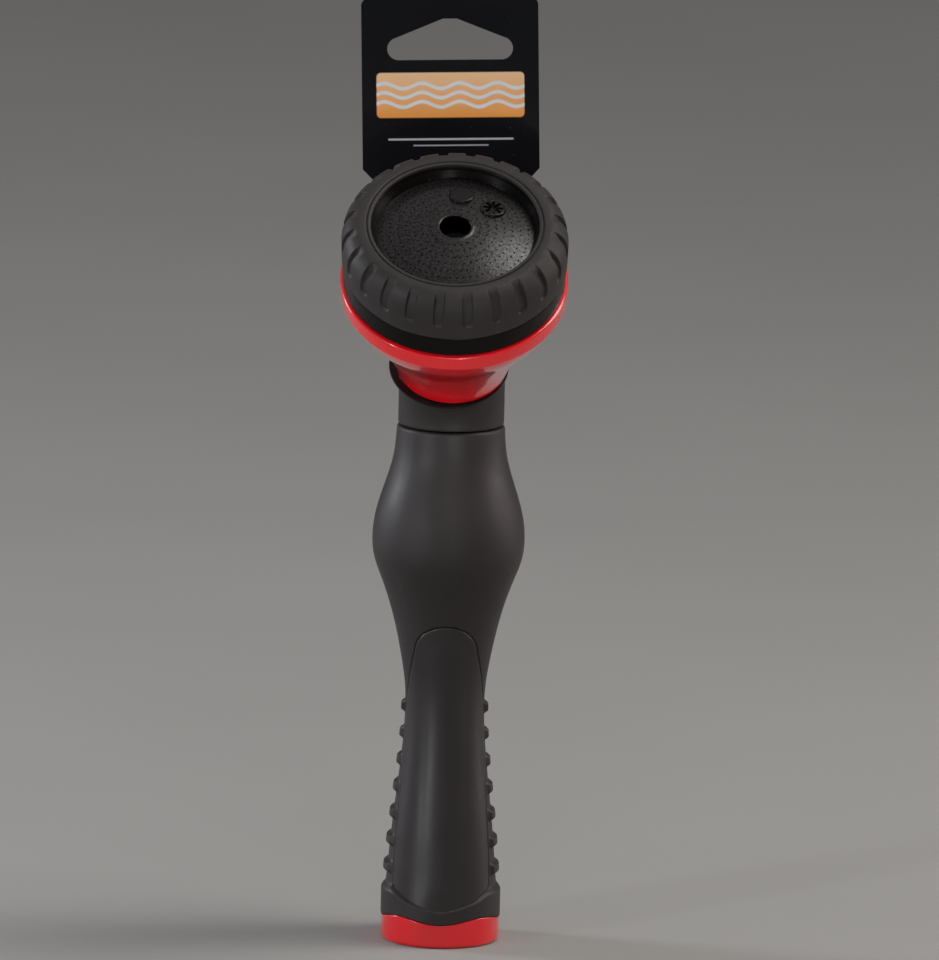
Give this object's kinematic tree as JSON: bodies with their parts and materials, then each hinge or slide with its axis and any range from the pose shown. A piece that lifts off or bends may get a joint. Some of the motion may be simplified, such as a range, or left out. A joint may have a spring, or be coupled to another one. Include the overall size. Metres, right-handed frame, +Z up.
{
  "type": "watering wand",
  "caption": "Hose-end watering wand: ribbed rubber handle, thumb slide valve, elbow neck and an angled round spray head turned by its rubber ring.",
  "frame": {"origin": "centre of the hose inlet mouth, at the bottom rim of the handle", "axes": "+Z up along the handle's axis, away from the hose; the spray face points to -Y and up; +X to the right when the face is looked at"},
  "size_m": [0.0724, 0.0933, 0.3038],
  "materials": {
    "red_plastic": "glossy moulded plastic",
    "black_plastic": "satin moulded plastic",
    "gloss_black": "glossy moulded plastic",
    "white_plastic": "natural acetal, satin",
    "face_plastic": "satin moulded plastic",
    "grip_rubber": "matte soft-touch rubber",
    "panel_rubber": "smooth satin rubber",
    "neck_rubber": "matte soft-touch rubber",
    "ring_rubber": "matte soft-touch rubber",
    "seal_rubber": "smooth nitrile rubber",
    "steel": "plain stainless steel",
    "brass": "machined",
    "card": "printed gloss film sheet"
  },
  "bodies": {
    "handle": {"base_ring": "red_plastic", "inlet_coupling": "black_plastic", "hose_washer": "seal_rubber", "filter_screen": "steel", "grip_sleeve": "grip_rubber", "grip_front_panel": "panel_rubber", "handle_core": "black_plastic", "valve_seat": "brass", "slide_bezel": "gloss_black", "bezel_screws": "steel", "neck": "neck_rubber", "neck_o_ring": "seal_rubber", "head_housing": "red_plastic", "diverter_disc": "white_plastic", "disc_o_ring": "seal_rubber", "port_seals": "seal_rubber", "pivot_screw": "steel", "pivot_washer": "steel", "detent_ball": "steel", "detent_spring": "steel", "hang_card": "card"},
    "slide": {"valve_spool": "white_plastic", "spool_o_rings": "seal_rubber", "spool_seal": "seal_rubber", "slide_stem": "white_plastic", "thumb_slide": "red_plastic"},
    "spray_head": {"distributor": "white_plastic", "jet_manifold": "black_plastic", "jet_nozzle": "black_plastic", "selector_skirt": "gloss_black", "selector_grip": "ring_rubber", "face_plate": "face_plastic"}
  },
  "joints": [
    {"name": "flow_slide", "type": "slide", "parent": "handle", "child": "slide", "axis": [0, 0, 1], "range_m": [0, 0.01]},
    {"name": "pattern_select", "type": "hinge", "parent": "handle", "child": "spray_head", "pos_m": [0, -0.04277, 0.23913], "axis": [0, -0.5736, 0.8192], "range_deg": [0, 45]}
  ]
}
